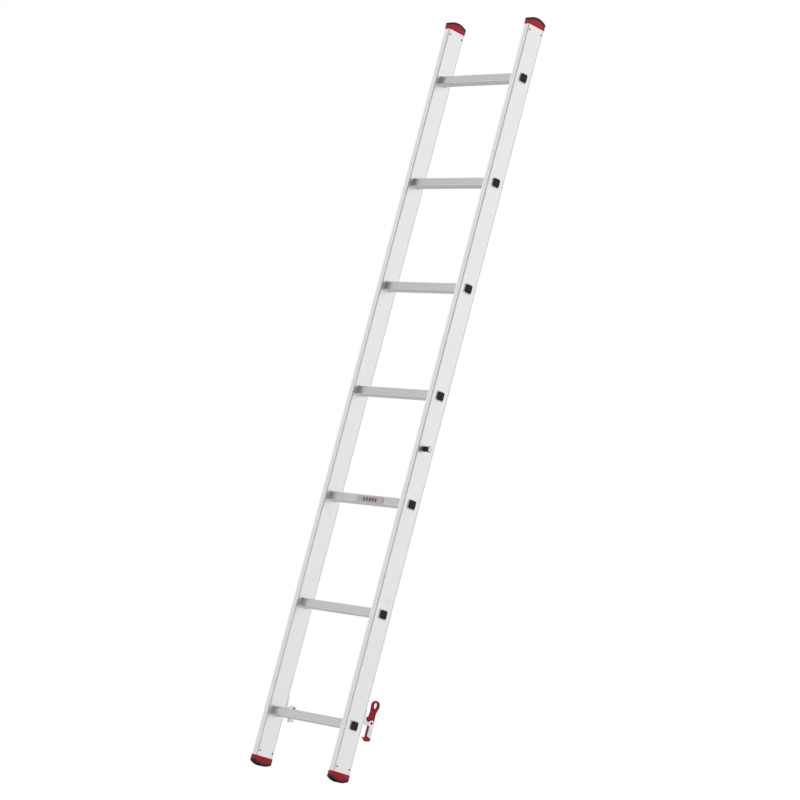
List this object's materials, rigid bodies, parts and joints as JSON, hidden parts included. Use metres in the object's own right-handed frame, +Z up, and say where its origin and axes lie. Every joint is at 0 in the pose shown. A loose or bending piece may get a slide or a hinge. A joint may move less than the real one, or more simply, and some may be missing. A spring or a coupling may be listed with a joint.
{
  "type": "extension ladder section",
  "caption": "Aluminium extension ladder section with square rungs, arched two-colour end caps, a guide stud and rung hooks with a latch lever.",
  "frame": {"origin": "centre of the outer box in plan, at the level of the crests of the feet", "axes": "+Z up the stiles, +X to the climber's right, +Y away from the climber, to the side of the hooks"},
  "size_m": [0.3396, 0.0994, 1.983],
  "materials": {
    "stile": "mill-finish extrusion, satin along its length",
    "rung": "satin extrusion with lengthwise flutes",
    "hook": "bead-blasted casting",
    "plug": "fine moulded grain",
    "cap": "moulded, slightly glossy",
    "latch": "moulded, slightly glossy",
    "tread": "ribbed, matt",
    "rivet": "zinc plated",
    "spring": "bright drawn wire",
    "pin": "blackened steel",
    "label": "plain printed film"
  },
  "bodies": {
    "section": {"stile_left": "stile", "stile_right": "stile", "rung_1": "rung", "rung_1_plug_left": "plug", "rung_1_plug_right": "plug", "rung_2": "rung", "rung_2_plug_left": "plug", "rung_2_plug_right": "plug", "rung_3": "rung", "rung_3_plug_left": "plug", "rung_3_plug_right": "plug", "rung_4": "rung", "rung_4_plug_left": "plug", "rung_4_plug_right": "plug", "rung_5": "rung", "rung_5_plug_left": "plug", "rung_5_plug_right": "plug", "rung_6": "rung", "rung_6_plug_left": "plug", "rung_6_plug_right": "plug", "rung_7": "rung", "rung_7_plug_left": "plug", "rung_7_plug_right": "plug", "rung_label": "label", "foot_left": "cap", "foot_left_tread": "tread", "foot_left_rivet_front": "rivet", "foot_left_rivet_back": "rivet", "foot_right": "cap", "foot_right_tread": "tread", "foot_right_rivet_front": "rivet", "foot_right_rivet_back": "rivet", "top_cap_left": "cap", "top_cap_left_tread": "tread", "top_cap_left_rivet_front": "rivet", "top_cap_left_rivet_back": "rivet", "top_cap_right": "cap", "top_cap_right_tread": "tread", "top_cap_right_rivet_front": "rivet", "top_cap_right_rivet_back": "rivet", "guide_sleeve": "plug", "guide_stud": "rivet", "hook_left": "hook", "hook_left_rivet_lower": "rivet", "hook_left_rivet_upper": "rivet", "hook_right": "hook", "hook_right_rivet_lower": "rivet", "hook_right_rivet_upper": "rivet", "latch_pin": "pin", "latch_spring": "spring", "hook_left_pin": "pin"},
    "latch": {"latch_lever": "latch"}
  },
  "joints": [
    {"name": "latch_swing", "type": "hinge", "parent": "section", "child": "latch", "pos_m": [0.13945, 0.0343, 0.1607], "axis": [1, 0, 0], "range_deg": [0, 19], "stiffness_Nm_per_rad": 0.12, "springref_deg": -22.92, "deforming": ["latch_spring"]}
  ]
}
